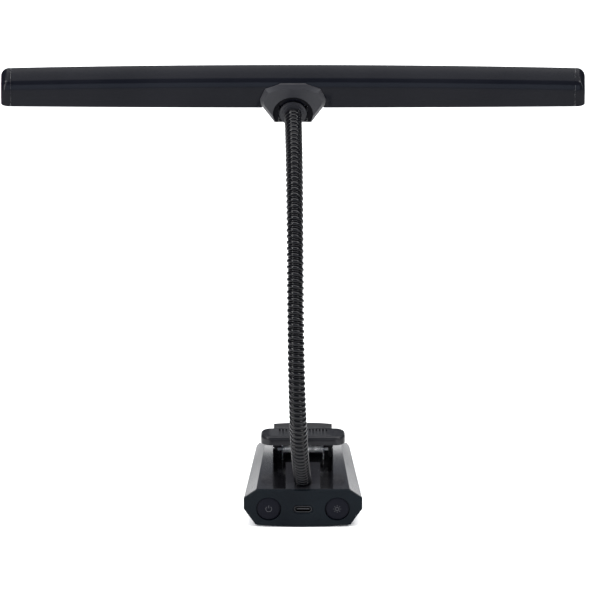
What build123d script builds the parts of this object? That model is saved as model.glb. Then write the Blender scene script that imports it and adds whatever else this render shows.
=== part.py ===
"""Rechargeable piano lamp: a clip-on battery base, a gooseneck and a long LED bar head.

Frame: X runs along the bar, Y from the control panel towards the clip's mouth, Z up.
The origin is on the table, under the middle of the battery housing.
"""
import os
from math import cos, radians, sin, tan

from build123d import *

# ---------------------------------------------------------------- battery housing
body_len = 78.0            # panel face to the housing's rear wall
body_h = 18.8              # bottom rim to deck
foot_h = 1.2
wall = 2.0
top_bevel_h = 4.4          # deck edge down to the widest line
flank_h = 5.9              # the upright band of the flank
deck_half, deck_half_rear = 23.9, 18.4
wide_half, wide_half_rear = 30.1, 23.2
base_half, base_half_rear = 24.1, 18.4
rear_bevel_len, rear_bevel_h = 14.0, 5.0
rear_corner_x, rear_corner_y = 3.0, 6.0

# ---------------------------------------------------------------- channel, block and lower jaw
channel_half = 15.3
channel_depth = 8.6
channel_len = 72.0         # from the panel face
channel_floor = 1.6
bay_len = 11.8             # electronics bay behind the panel, under a shallow shelf
shelf_depth = 4.4
block_half = 8.75
block_len = 38.6           # rear end, from the panel face
jaw_half = 14.3
jaw_len = 105.0            # tip, from the panel face
jaw_tip_sag = 3.4
jaw_plate_t = 5.0
jaw_lip_h = 3.0
jaw_lip_len = 14.0
jaw_pad_t = 1.2
jaw_gap = 0.3              # between the two pads, closed
pad_inset = 1.0

# ---------------------------------------------------------------- clip lever
pin_y, pin_drop = 63.0, 2.6     # from the panel face, below the deck
pin_r = 0.9
pin_fit = 0.05
pin_grip = 3.0             # how far the pin reaches into each rail
ear_half, ear_t = 14.9, 2.0
ear_boss_r = 4.0
plate_t = 3.0
plate_dip = 0.5            # the plate's top below the thumb rest's
hump_y, hump_h = 4.5, 4.6  # where the plate levels out behind the pin, and its height above the deck
heel_y, heel_h = 81.0, 0.6      # where the plate turns down to the jaw
thumb_overlap = 3.0
thumb_y, thumb_rise = 40.0, 8.7   # front lower edge: from the panel face, above the deck
thumb_w, thumb_d, thumb_t = 43.0, 13.6, 4.4
thumb_corner, thumb_round = 5.2, 1.5
rib_count, rib_pitch, rib_w, rib_len, rib_deep = 15, 1.7, 0.85, 8.0, 0.7
spring_half, spring_r, spring_wire = 10.7, 2.0, 0.7
leg_rise = 1.7             # the long leg's end above the deck

# ---------------------------------------------------------------- panel, buttons, inlet
panel_t = 2.4
panel_bow = 1.2
panel_sag = 0.8
seam = 0.25
control_drop = 10.2        # button and inlet centres, below the deck
button_x, button_r, button_gap = 17.4, 6.0, 0.3
button_dome = 0.9
flange_r, flange_t = 7.0, 1.0
stem_r, stem_len = 1.9, 1.8
travel_gap = 0.6
plunger_r, plunger_t, plunger_sink = 1.6, 0.9, 0.8
switch_side, switch_t = 6.2, 3.3
board_t = 1.6
usb_w, usb_h, usb_len, usb_wall = 8.94, 3.26, 7.3, 0.35
usb_gap = 0.25
usb_bevel = 0.6
usb_sink, usb_back_t = 0.5, 1.0        # mouth behind the panel face, and the closed back
tongue_w, tongue_t, tongue_sink = 6.4, 0.7, 0.6

# ---------------------------------------------------------------- inside the base
cover_t = 1.6
cover_gap = 0.15
cell_w, cell_t = 32.0, 5.0
cell_front_gap, cell_rear_gap = 2.0, 5.35      # to the control board, and to the rear bosses
screw_r, screw_head_r, screw_head_t = 1.0, 1.9, 1.0
screw_len, head_sink = 6.0, 0.1
boss_r, boss_h = 2.4, 12.0
boss_x, boss_x_rear = 18.6, 14.4
boss_y, boss_y_rear = 16.0, 11.0      # from the panel face and from the rear wall
foot_r = 3.5
pad_w, pad_l, pad_y, pad_corner = 32.0, 54.0, -6.5, 5.0
jaw_foot_back = 9.0

# ---------------------------------------------------------------- gooseneck
neck_r = 4.4
neck_wire_r = 1.3
root_y = 12.0              # where the neck's line crosses the deck, from the panel face
root_lean = -43.5          # degrees from upright, towards the panel side
tip_lean = 78.5
side_lean = 1.6
collar_len, collar_r, collar_sink = 1.2, 4.6, 8.0
root_len = 17.8
bend_radius = 100.0
link_count = 8
tip_len = 7.0
ball_r, ball_fit, ball_stem_r = 3.4, 0.08, 2.0
socket_lip, shoulder = 1.2, 2.6

# ---------------------------------------------------------------- knuckle and hub
flange_z, knuckle_flange_t, knuckle_flange_r = 3.6, 0.9, 6.9
knuckle_ring_t, knuckle_ring_r = 1.0, 5.3
barrel_r, barrel_half = 3.2, 6.9
barrel_wall = 0.6          # left between the tilt pin and the neck's bore
apron_out, apron_turn = 3.25, 60.0     # the apron's front face, and how far it hangs round, in degrees
tilt_pin_r, tilt_pin_half = 1.5, 11.2
hub_face = 5.0             # hub face ahead of the tilt axis
hub_back = 4.7
hub_top, hub_bottom = 17.0, -5.8
hub_half, hub_top_half, hub_bottom_half = 16.7, 6.4, 9.4
hub_shoulders = ((10.4, -4.1), (16.2, 4.6), (16.7, 7.8), (14.0, 14.1))
hub_chamfer = 1.9
recess_r, recess_deep = 10.2, 1.5
slot_half, slot_back = 7.2, 3.45
slot_square, slot_top = 4.0, 8.4

# ---------------------------------------------------------------- bar head
bar_len = 296.0
cap_len = 5.0
bar_face = 2.8             # lower face ahead of the tilt axis
crease_y, crease_drop = 16.6, 1.7     # middle of the bar, and how much lower at its ends
bar_bottom, bar_bottom_rise, bar_heel = 3.6, 0.7, 0.1
upper_rise, upper_run = 6.25, 8.93
lip_rise = 3.5
led_tilt = 28.0
led_low_z = -0.9
bar_wall = 1.5
window_w, diffuser_t, diffuser_gap = 13.6, 1.5, 0.1
led_board_w, led_board_t, led_board_deep = 8.2, 1.0, 3.2
led_rows_gap, led_size, led_t = 4.8, 2.8, 0.8
led_count, led_end = 27, 17.65        # in a row, and the outer one's distance from the caps' spigots
head_boss_r, head_boss_count = 2.3, 4
boss_step = 9              # LEDs from boss to boss, odd so that each is midway between two LEDs
board_screw_grip = 1.8
hub_screw_head_t = 0.7
hub_screw_x, hub_screw_y, hub_screw_grip = 13.2, 9.0, 1.5
cap_round = 1.4
spigot_len, spigot_gap = 3.0, 0.15

# ---------------------------------------------------------------- derived places
front = -body_len / 2
rear = body_len / 2
deck_z = foot_h + body_h
wide_top_z = deck_z - top_bevel_h
wide_low_z = wide_top_z - flank_h
channel_z = deck_z - channel_depth
roof_z = channel_z - channel_floor
control_z = deck_z - control_drop
pin_place = (0, front + pin_y, deck_z - pin_drop)
shell_front = front + panel_t + seam
across = Vector(1, 0, 0)
neck_side = Vector(cos(radians(side_lean)), 0, sin(radians(side_lean)))
neck_up = Vector(-sin(radians(side_lean)), 0, cos(radians(side_lean)))
neck_back = Vector(0, 1, 0)
neck_root = Vector(0, front + root_y, deck_z)
link_turn = (tip_lean - root_lean) / link_count

boss_corners = ((boss_x, front + boss_y), (boss_x_rear, rear - boss_y_rear))
cover_bosses = [(s * x, y) for s in (1, -1) for x, y in boss_corners]
flange_y = shell_front

os.makedirs("parts", exist_ok=True)


def save(part, label):
    """Label a finished piece and write its STEP file."""
    part.label = label
    export_step(part, f"parts/{label}.step")


def polygon(points):
    """A closed face through the points, for the sketch in hand."""
    Polygon(*points, align=None)


def upright(y):
    """Plane facing the panel side at depth y, sketched in X and Z."""
    return Plane(origin=(0, y, 0), x_dir=(1, 0, 0), z_dir=(0, -1, 0))


side_view = Plane(origin=(0, 0, 0), x_dir=(0, 1, 0), z_dir=(1, 0, 0))


def taper(y, at_front, at_rear):
    """A housing half-width at depth y."""
    return at_front + (at_rear - at_front) * (y - front) / body_len


def housing_outline(y, inset=0.0, low=foot_h):
    """The housing's six-sided section at depth y."""
    deck = taper(y, deck_half, deck_half_rear) - inset * 0.6
    wide = taper(y, wide_half, wide_half_rear) - inset
    base = taper(y, base_half, base_half_rear) - inset * 0.9
    right = [(base, low), (wide, wide_low_z), (wide, wide_top_z), (deck, deck_z - inset)]
    return right + [(-x, z) for x, z in reversed(right)]


# ================================================================ gooseneck line
def neck_dir(lean):
    return neck_back * sin(radians(lean)) + neck_up * cos(radians(lean))


def neck_normal(lean):
    """In the neck's own plane, square to its line, towards the panel side."""
    return neck_up * sin(radians(lean)) - neck_back * cos(radians(lean))


def arc_point(start, lean, turn):
    """Where a bend of the neck ends that starts at a point with a lean."""
    a, b = radians(lean), radians(lean + turn)
    back = bend_radius * (cos(a) - cos(b))
    up = bend_radius * (sin(b) - sin(a))
    return start + neck_back * back + neck_up * up


joints = [neck_root + neck_dir(root_lean) * (collar_len + root_len)]
leans = [root_lean]
for _ in range(link_count):
    joints.append(arc_point(joints[-1], leans[-1], link_turn))
    leans.append(leans[-1] + link_turn)
tilt_place = joints[-1] + neck_dir(tip_lean) * (tip_len + flange_z + knuckle_flange_t + knuckle_ring_t)
head_up = Vector(0, -cos(radians(tip_lean)), sin(radians(tip_lean)))
head_out = Vector(0, -sin(radians(tip_lean)), -cos(radians(tip_lean)))
head_plane = Plane(origin=tilt_place, x_dir=across, z_dir=head_out)


def neck_plane(point, lean):
    return Plane(origin=point, x_dir=neck_side, z_dir=neck_dir(lean))


def head_section(x):
    """Plane across the bar at x from the hub, sketched in up and out."""
    return Plane(origin=tilt_place + across * x, x_dir=head_up, z_dir=across)


# ================================================================ base: housing
with BuildPart() as body_shell:
    for y in (shell_front, rear):
        with BuildSketch(upright(y)):
            polygon(housing_outline(y))
    loft(ruled=True)
    with BuildSketch(side_view):
        polygon([(rear - rear_bevel_len, deck_z), (rear, deck_z - rear_bevel_h),
                 (rear + wall, deck_z + wall)])
    extrude(amount=wide_half, both=True, mode=Mode.SUBTRACT)
    with BuildSketch(Plane.XY):
        for s in (1, -1):
            polygon([(s * wide_half, rear - rear_corner_y * 2), (s * wide_half, rear),
                     (s * (wide_half_rear - rear_corner_x), rear),
                     (s * wide_half_rear, rear - rear_corner_y)])
    extrude(amount=deck_z, mode=Mode.SUBTRACT)
    # hollow inside, open to the bottom and to the panel; bosses for the bottom cover's screws
    for y in (shell_front, rear - wall - rear_corner_y):
        with BuildSketch(upright(y)):
            polygon(housing_outline(y, wall, foot_h))
    loft(ruled=True, mode=Mode.SUBTRACT)
    with BuildSketch(Plane.XY.offset(foot_h + cover_t)):
        with Locations(*cover_bosses):
            Circle(boss_r)
    extrude(amount=boss_h)
    # trough for the lever, with its walls and floor
    with BuildSketch(Plane.XY.offset(roof_z)):
        trough_half = channel_half + wall
        polygon([(-trough_half, shell_front + bay_len), (trough_half, shell_front + bay_len),
                 (trough_half, front + channel_len + wall), (-trough_half, front + channel_len + wall)])
    extrude(amount=deck_z - roof_z - rear_bevel_h)
    with BuildSketch(Plane.XY.offset(deck_z - shelf_depth - channel_floor)):
        polygon([(-trough_half, shell_front), (trough_half, shell_front),
                 (trough_half, rear - rear_bevel_len), (-trough_half, rear - rear_bevel_len)])
    extrude(amount=shelf_depth + channel_floor)
    with BuildSketch(Plane.XY.offset(channel_z)):
        polygon([(-channel_half, front + bay_len + wall), (channel_half, front + bay_len + wall),
                 (channel_half, front + channel_len), (-channel_half, front + channel_len)])
    extrude(amount=body_h, mode=Mode.SUBTRACT)
    with BuildSketch(Plane.XY.offset(deck_z - shelf_depth)):
        polygon([(-channel_half, shell_front), (channel_half, shell_front),
                 (channel_half, front + bay_len + wall), (-channel_half, front + bay_len + wall)])
    extrude(amount=body_h, mode=Mode.SUBTRACT)
    # block that carries the gooseneck
    with BuildSketch(side_view):
        polygon([(shell_front, deck_z), (front + block_len, deck_z), (front + block_len, roof_z),
                 (front + bay_len + wall, roof_z), (front + bay_len, deck_z - shelf_depth - channel_floor),
                 (shell_front, deck_z - shelf_depth - channel_floor)])
    extrude(amount=block_half, both=True)
    # room for the buttons' flanges behind the panel
    with BuildSketch(upright(shell_front)):
        with Locations((-button_x, control_z), (button_x, control_z)):
            Circle(flange_r + button_gap)
    extrude(amount=-flange_t - 2 * travel_gap, mode=Mode.SUBTRACT)
    # lower jaw behind the housing
    tip_y = front + jaw_len
    with BuildSketch(Plane.XY.offset(foot_h)):
        with BuildLine():
            Polyline((-jaw_half, tip_y - jaw_tip_sag), (-jaw_half, rear - wall), (jaw_half, rear - wall),
                     (jaw_half, tip_y - jaw_tip_sag))
            ThreePointArc((jaw_half, tip_y - jaw_tip_sag), (0, tip_y), (-jaw_half, tip_y - jaw_tip_sag))
        make_face()
    extrude(amount=jaw_plate_t)
    with BuildSketch(Plane.XY.offset(foot_h + jaw_plate_t)):
        with BuildLine():
            Polyline((-jaw_half, tip_y - jaw_tip_sag), (-jaw_half, tip_y - jaw_lip_len),
                     (jaw_half, tip_y - jaw_lip_len), (jaw_half, tip_y - jaw_tip_sag))
            ThreePointArc((jaw_half, tip_y - jaw_tip_sag), (0, tip_y), (-jaw_half, tip_y - jaw_tip_sag))
        make_face()
    extrude(amount=jaw_lip_h)
    # screw holes in the bosses
    with BuildSketch(Plane.XY.offset(foot_h)):
        with Locations(*cover_bosses):
            Circle(screw_r)
    extrude(amount=screw_len + screw_head_t + 2 * cover_gap, mode=Mode.SUBTRACT)
    # pin bore across the rails, and the neck's slanted bore
    with BuildSketch(Plane.YZ):
        with Locations((pin_place[1], pin_place[2])):
            Circle(pin_r + pin_fit)
    extrude(amount=channel_half + pin_grip + cover_gap, both=True, mode=Mode.SUBTRACT)
    bore_plane = neck_plane(neck_root - neck_dir(root_lean) * collar_sink, root_lean)
    with BuildSketch(bore_plane):
        Circle(collar_r)
    extrude(amount=collar_sink * 3, mode=Mode.SUBTRACT)
    with BuildSketch(bore_plane):
        Circle(neck_wire_r)
    extrude(amount=-collar_sink, mode=Mode.SUBTRACT)
save(body_shell.part, "body_shell")

with BuildPart() as bottom_cover:
    cover_front, cover_rear = shell_front + cover_gap, rear - wall - rear_corner_y - cover_gap
    cover_half, cover_half_rear = (taper(y, base_half, base_half_rear) - wall * 0.9 - cover_gap
                                   for y in (cover_front, cover_rear))
    with BuildSketch(Plane.XY.offset(foot_h)):
        polygon([(-cover_half, cover_front), (cover_half, cover_front),
                 (cover_half_rear, cover_rear), (-cover_half_rear, cover_rear)])
    extrude(amount=cover_t)
    with BuildSketch(Plane.XY.offset(foot_h)):
        with Locations(*cover_bosses):
            Circle(screw_r + cover_gap)
    extrude(amount=cover_t, mode=Mode.SUBTRACT)
    with BuildSketch(Plane.XY.offset(foot_h)):
        with Locations(*cover_bosses):
            Circle(screw_head_r + cover_gap)
    extrude(amount=screw_head_t, mode=Mode.SUBTRACT)
save(bottom_cover.part, "bottom_cover")

with BuildPart() as front_panel:
    with BuildSketch(upright(front)):
        low = foot_h
        right = [(base_half, low), (wide_half, wide_low_z), (wide_half, wide_top_z), (deck_half, deck_z)]
        with BuildLine():
            Polyline(*right, *[(-x, z) for x, z in reversed(right)])
            ThreePointArc((-base_half, low), (0, low - panel_sag), (base_half, low))
        make_face()
    extrude(amount=-panel_t)
    with BuildSketch(Plane.XY):
        with BuildLine():
            Polyline((-wide_half, front + panel_bow), (-wide_half, front + panel_t),
                     (wide_half, front + panel_t), (wide_half, front + panel_bow))
            ThreePointArc((wide_half, front + panel_bow), (0, front), (-wide_half, front + panel_bow))
        make_face()
    extrude(amount=deck_z, mode=Mode.INTERSECT)
    with BuildSketch(upright(front)):
        with Locations((-button_x, control_z), (button_x, control_z)):
            Circle(button_r + button_gap)
        with Locations((0, control_z)):
            SlotOverall(usb_w + 2 * usb_gap, usb_h + 2 * usb_gap)
    extrude(amount=-panel_t, mode=Mode.SUBTRACT)
    for depth in (0.0, usb_bevel / 2):
        with BuildSketch(upright(front + depth)):
            with Locations((0, control_z)):
                mouth_gap = usb_gap + usb_bevel - depth
                SlotOverall(usb_w + 2 * mouth_gap, usb_h + 2 * mouth_gap)
        extrude(amount=-usb_bevel / 2, mode=Mode.SUBTRACT)
    # the neck's line passes over the top edge, so it is relieved there
    with BuildSketch(neck_plane(neck_root, root_lean)):
        Circle(collar_r + button_gap)
    extrude(amount=collar_sink, both=True, mode=Mode.SUBTRACT)
save(front_panel.part, "front_panel")

# ================================================================ controls and electronics
plunger_y = flange_y + flange_t + stem_len
switch_y = plunger_y + plunger_t
for side, label in ((-1, "power_button"), (1, "dimmer_button")):
    with BuildPart() as button:
        with BuildSketch(upright(flange_y)):
            with Locations((side * button_x, control_z)):
                Circle(button_r)
        extrude(amount=panel_t - button_dome * 0.4)
        chamfer(button.edges().filter_by(GeomType.CIRCLE).group_by(Axis.Y)[0], length=button_dome * 0.6)
        with BuildSketch(upright(flange_y + flange_t)):
            with Locations((side * button_x, control_z)):
                Circle(flange_r)
        extrude(amount=flange_t)
        with BuildSketch(upright(plunger_y)):
            with Locations((side * button_x, control_z)):
                Circle(stem_r)
        extrude(amount=plunger_y - flange_y - flange_t)
    save(button.part, label)

for side, label in ((-1, "power_plunger"), (1, "dimmer_plunger")):
    with BuildPart() as plunger:
        with BuildSketch(upright(switch_y + plunger_sink)):
            with Locations((side * button_x, control_z)):
                Circle(plunger_r)
        extrude(amount=plunger_t + plunger_sink)
    save(plunger.part, label)

with BuildPart() as button_switches:
    with BuildSketch(upright(switch_y + switch_t)):
        with Locations((-button_x, control_z), (button_x, control_z)):
            Rectangle(switch_side, switch_side)
    extrude(amount=switch_t)
    with BuildSketch(upright(switch_y)):
        with Locations((-button_x, control_z), (button_x, control_z)):
            Circle(plunger_r + pin_fit)
    extrude(amount=-plunger_sink - travel_gap, mode=Mode.SUBTRACT)
save(button_switches.part, "button_switches")

board_y = switch_y + switch_t
board_top = deck_z - shelf_depth - channel_floor - 2 * cover_gap
with BuildPart() as control_board:
    with BuildSketch(upright(board_y + board_t)):
        board_half = button_x + switch_side / 2 + 1.0
        polygon([(-board_half, foot_h + cover_t + cover_gap), (board_half, foot_h + cover_t + cover_gap),
                 (board_half, board_top), (-board_half, board_top)])
    extrude(amount=board_t)
save(control_board.part, "control_board")

usb_y = front + usb_sink
with BuildPart() as usb_socket:
    with BuildSketch(upright(board_y)):
        with Locations((0, control_z)):
            SlotOverall(usb_w, usb_h)
    extrude(amount=board_y - usb_y)
    with BuildSketch(upright(usb_y)):
        with Locations((0, control_z)):
            SlotOverall(usb_w - 2 * usb_wall, usb_h - 2 * usb_wall)
    extrude(amount=usb_back_t - usb_len, mode=Mode.SUBTRACT)
    with BuildSketch(upright(board_y)):
        with Locations((0, control_z)):
            Rectangle(tongue_w, tongue_t)
    extrude(amount=board_y - usb_y - tongue_sink)
save(usb_socket.part, "usb_socket")

cell_front = board_y + board_t + cell_front_gap
cell_l = rear - boss_y_rear - boss_r - cell_rear_gap - cell_front
with BuildPart() as battery_cell:
    with BuildSketch(Plane.XY.offset(foot_h + cover_t)):
        with Locations((0, cell_front + cell_l / 2)):
            Rectangle(cell_w, cell_l)
    extrude(amount=cell_t)
    fillet(battery_cell.edges().filter_by(Axis.Y), radius=cell_t * 0.35)
save(battery_cell.part, "battery_cell")

with BuildPart() as cover_screws:
    with BuildSketch(Plane.XY.offset(foot_h + head_sink)):
        with Locations(*cover_bosses):
            Circle(screw_head_r)
    extrude(amount=screw_head_t - head_sink)
    with BuildSketch(Plane.XY.offset(foot_h + screw_head_t)):
        with Locations(*cover_bosses):
            Circle(screw_r - pin_fit)
    extrude(amount=screw_len)
    with BuildSketch(Plane.XY.offset(foot_h + head_sink)):
        with Locations(*cover_bosses):
            Rectangle(screw_head_r * 1.2, screw_r * 0.4)
            Rectangle(screw_r * 0.4, screw_head_r * 1.2)
    extrude(amount=screw_head_t * 0.5, mode=Mode.SUBTRACT)
save(cover_screws.part, "cover_screws")

with BuildPart() as rubber_feet:
    with BuildSketch(Plane.XY):
        with Locations((0, pad_y)):
            RectangleRounded(pad_w, pad_l, pad_corner)
        with Locations((0, front + jaw_len - jaw_foot_back)):
            Circle(foot_r)
    extrude(amount=foot_h)
    chamfer(rubber_feet.edges().group_by(Axis.Z)[0], length=foot_h * 0.3)
save(rubber_feet.part, "rubber_feet")

# ================================================================ clip lever
pin_z = pin_place[2]
pin_at = pin_place[1]
thumb_front = front + thumb_y
thumb_low = deck_z + thumb_rise
with BuildPart() as clip_lever:
    # plate from the thumb rest over the pin to the upper jaw's tip
    upper_low = foot_h + jaw_plate_t + jaw_lip_h + 2 * jaw_pad_t + jaw_gap
    tip_back = front + jaw_len
    neck_y = thumb_front + thumb_d - thumb_overlap
    heel_at = front + heel_y
    plate_top = [(neck_y, thumb_low + thumb_t - plate_dip), (pin_at + hump_y, deck_z + hump_h),
                 (heel_at, deck_z + heel_h), (tip_back, upper_low + plate_t)]
    plate_under = [(tip_back, upper_low), (heel_at, deck_z + heel_h - plate_t),
                   (pin_at + hump_y / 2, deck_z + hump_h - plate_t), (neck_y, thumb_low)]
    with BuildSketch(side_view):
        polygon(plate_top + plate_under)
    extrude(amount=ear_half, both=True)
    with BuildSketch(Plane.XY):
        with BuildLine():
            Polyline((-ear_half, tip_back - jaw_tip_sag), (-ear_half, thumb_front), (ear_half, thumb_front),
                     (ear_half, tip_back - jaw_tip_sag))
            ThreePointArc((ear_half, tip_back - jaw_tip_sag), (0, tip_back),
                          (-ear_half, tip_back - jaw_tip_sag))
        make_face()
    extrude(amount=deck_z * 3, mode=Mode.INTERSECT)
    # ears down to the pin
    for s in (1, -1):
        with BuildSketch(side_view.offset(s * (ear_half - ear_t / 2))):
            polygon([(pin_at - ear_boss_r, pin_z), (pin_at + ear_boss_r, pin_z),
                     (pin_at + ear_boss_r * 4 / 3, deck_z + hump_h - plate_dip),
                     (neck_y, thumb_low + plate_dip * 2)])
            with Locations((pin_at, pin_z)):
                Circle(ear_boss_r)
        extrude(amount=ear_t / 2, both=True)
    # thumb rest, dished and ribbed
    with BuildSketch(Plane.XY.offset(thumb_low)):
        with Locations((0, thumb_front + thumb_d / 2)):
            RectangleRounded(thumb_w, thumb_d, thumb_corner)
    extrude(amount=thumb_t)
    thumb_top = clip_lever.faces().sort_by(Axis.Z)[-1]
    fillet(thumb_top.outer_wire().edges(), radius=thumb_round)
    rib_y = thumb_front + thumb_d * 0.56
    with BuildSketch(Plane.XY.offset(thumb_low + thumb_t - rib_deep)):
        with Locations((0, rib_y)):
            with GridLocations(rib_pitch, 0, rib_count, 1):
                SlotOverall(rib_len, rib_w, rotation=90)
    extrude(amount=rib_deep * 2, mode=Mode.SUBTRACT)
    with BuildSketch(side_view):
        with Locations((pin_at, pin_z)):
            Circle(pin_r + pin_fit)
    extrude(amount=ear_half, both=True, mode=Mode.SUBTRACT)
save(clip_lever.part, "clip_lever")

with BuildPart() as pivot_pin:
    with BuildSketch(side_view):
        with Locations((pin_at, pin_z)):
            Circle(pin_r)
    extrude(amount=channel_half + pin_grip, both=True)
save(pivot_pin.part, "pivot_pin")

with BuildPart() as torsion_spring:
    with BuildSketch(side_view):
        with Locations((pin_at, pin_z)):
            Circle(spring_r)
            Circle(pin_r + 2 * pin_fit, mode=Mode.SUBTRACT)
    extrude(amount=spring_half, both=True)
    leg_x = spring_half - spring_wire
    leg_y = pin_at - spring_r + spring_wire / 2
    with BuildSketch(Plane.XY.offset(channel_z + pin_fit)):
        with Locations((-leg_x, leg_y), (leg_x, leg_y)):
            Circle(spring_wire / 2)
    extrude(amount=pin_z - channel_z)
    with BuildSketch(Plane.XY.offset(pin_z)):
        with Locations((0, pin_at + spring_r - spring_wire / 2)):
            Circle(spring_wire / 2)
    extrude(amount=deck_z + leg_rise - pin_z)
save(torsion_spring.part, "torsion_spring")

pad_half = jaw_half - pad_inset
pad_front = tip_back - jaw_lip_len + 2 * pad_inset
pad_places = (("lower_jaw_pad", foot_h + jaw_plate_t + jaw_lip_h), ("upper_jaw_pad", upper_low - jaw_pad_t))
for label, low_z in pad_places:
    with BuildPart() as jaw_pad:
        with BuildSketch(Plane.XY.offset(low_z)):
            with BuildLine():
                Polyline((-pad_half, tip_back - jaw_tip_sag), (-pad_half, pad_front),
                         (pad_half, pad_front), (pad_half, tip_back - jaw_tip_sag))
                ThreePointArc((pad_half, tip_back - jaw_tip_sag), (0, tip_back - pad_inset / 2),
                              (-pad_half, tip_back - jaw_tip_sag))
            make_face()
        extrude(amount=jaw_pad_t)
    save(jaw_pad.part, label)

# ================================================================ gooseneck
collar_plane = neck_plane(neck_root - neck_dir(root_lean) * (collar_sink - pin_fit), root_lean)
with BuildPart() as neck_collar:
    with BuildSketch(collar_plane):
        Circle(collar_r - pin_fit)
    extrude(amount=collar_sink + collar_len - 2 * pin_fit)
    with BuildSketch(collar_plane):
        Circle(neck_wire_r)
    extrude(amount=collar_sink * 2, mode=Mode.SUBTRACT)
    rim = neck_collar.edges().filter_by(GeomType.CIRCLE).sort_by(lambda edge: edge.radius)[-1]
    chamfer(rim, length=pin_fit)
save(neck_collar.part, "neck_collar")


def add_ball(point, lean):
    """Stem and ball that end a stretch of neck at a joint."""
    with Locations(neck_plane(point, lean)):
        Sphere(ball_r)
        Cylinder(ball_stem_r, shoulder + socket_lip, align=(Align.CENTER, Align.CENTER, Align.MAX))


def cut_socket(point):
    """Seat for the ball of the stretch below."""
    with Locations(point):
        Sphere(ball_r + ball_fit, mode=Mode.SUBTRACT)


with BuildPart() as neck_root_tube:
    with BuildSketch(neck_plane(neck_root + neck_dir(root_lean) * collar_len, root_lean)):
        Circle(neck_r)
    extrude(amount=root_len - shoulder)
    add_ball(joints[0], leans[0])
    with BuildSketch(neck_plane(neck_root + neck_dir(root_lean) * collar_len, root_lean)):
        Circle(neck_wire_r)
    extrude(amount=root_len + ball_r * 2, mode=Mode.SUBTRACT)
save(neck_root_tube.part, "neck_root")

lip_turn = socket_lip / radians(1) / bend_radius
shoulder_turn = shoulder / radians(1) / bend_radius
for k in range(link_count):
    bend_centre = joints[k] + neck_back * (bend_radius * cos(radians(leans[k]))) \
        - neck_up * (bend_radius * sin(radians(leans[k])))
    bend_axis = Axis(bend_centre, neck_side * -1)
    foot_point = arc_point(joints[k], leans[k], -lip_turn)
    with BuildPart() as link:
        with BuildSketch(neck_plane(foot_point, leans[k] - lip_turn)):
            Circle(neck_r)
        revolve(axis=bend_axis, revolution_arc=link_turn + lip_turn - shoulder_turn)
        cut_socket(joints[k])
        add_ball(joints[k + 1], leans[k + 1])
        with BuildSketch(neck_plane(foot_point, leans[k] - lip_turn)):
            Circle(neck_wire_r)
        revolve(axis=bend_axis, revolution_arc=link_turn + lip_turn * 5, mode=Mode.SUBTRACT)
    save(link.part, f"neck_link_{k + 1}")

tip_dir = neck_dir(tip_lean)
with BuildPart() as neck_tip:
    with BuildSketch(neck_plane(joints[-1] - tip_dir * socket_lip, tip_lean)):
        Circle(neck_r)
    extrude(amount=socket_lip + tip_len - ball_fit)
    cut_socket(joints[-1])
    with BuildSketch(neck_plane(joints[-1], tip_lean)):
        Circle(neck_wire_r)
    extrude(amount=tip_len, mode=Mode.SUBTRACT)
save(neck_tip.part, "neck_tip")

# ================================================================ knuckle and hub
with BuildPart() as neck_knuckle:
    for start, length, radius in ((flange_z, knuckle_flange_t, knuckle_flange_r),
                                  (flange_z + knuckle_flange_t, knuckle_ring_t, knuckle_ring_r),
                                  (0, flange_z, barrel_r)):
        with BuildSketch(head_plane.offset(start)):
            Circle(radius)
        extrude(amount=length)
    with BuildSketch(head_section(0)):
        Circle(barrel_r)
        # apron that closes the hub's slot below the neck
        polygon([(0, 0), (0, apron_out), (-apron_out * tan(radians(apron_turn)), apron_out)])
    extrude(amount=barrel_half, both=True)
    with BuildSketch(head_section(0)):
        Circle(tilt_pin_r + pin_fit)
    extrude(amount=barrel_half, both=True, mode=Mode.SUBTRACT)
    with BuildSketch(head_plane.offset(tilt_pin_r + barrel_wall)):
        Circle(neck_wire_r)
    extrude(amount=flange_z * 2, mode=Mode.SUBTRACT)
save(neck_knuckle.part, "neck_knuckle")


def led_z(y):
    """The LED side's plane, in the head's own frame."""
    return led_low_z - (y - bar_bottom) * tan(radians(led_tilt))


def bar_outline(drop, bottom_rise):
    """Section of the bar: lower face, upper face, lip and LED side."""
    crease = crease_y - drop
    bottom = bar_bottom + bottom_rise
    lip = crease + lip_rise
    return [(bottom, bar_face), (crease, bar_face), (crease + upper_rise, bar_face - upper_run),
            (lip, led_z(lip)), (bottom - bar_heel, led_z(bottom - bar_heel))]


end_outline = bar_outline(crease_drop, bar_bottom_rise)
led_line_y = (bar_bottom + crease_y + lip_rise) / 2
led_dir = (head_up * -sin(radians(led_tilt)) - head_out * cos(radians(led_tilt))).normalized()
led_place = tilt_place + head_up * led_line_y + head_out * led_z(led_line_y)
led_plane = Plane(origin=led_place, x_dir=across, z_dir=led_dir)
bar_half = bar_len / 2 - cap_len
inside_len = 2 * (bar_half - spigot_len - spigot_gap)
led_pitch = (inside_len - 2 * led_end) / (led_count - 1)
head_boss_pitch = boss_step * led_pitch

with BuildPart() as bar_solid:
    for x, outline in ((-bar_half, end_outline), (0, bar_outline(0, 0)), (bar_half, end_outline)):
        with BuildSketch(head_section(x)):
            polygon(outline)
    loft()

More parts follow.
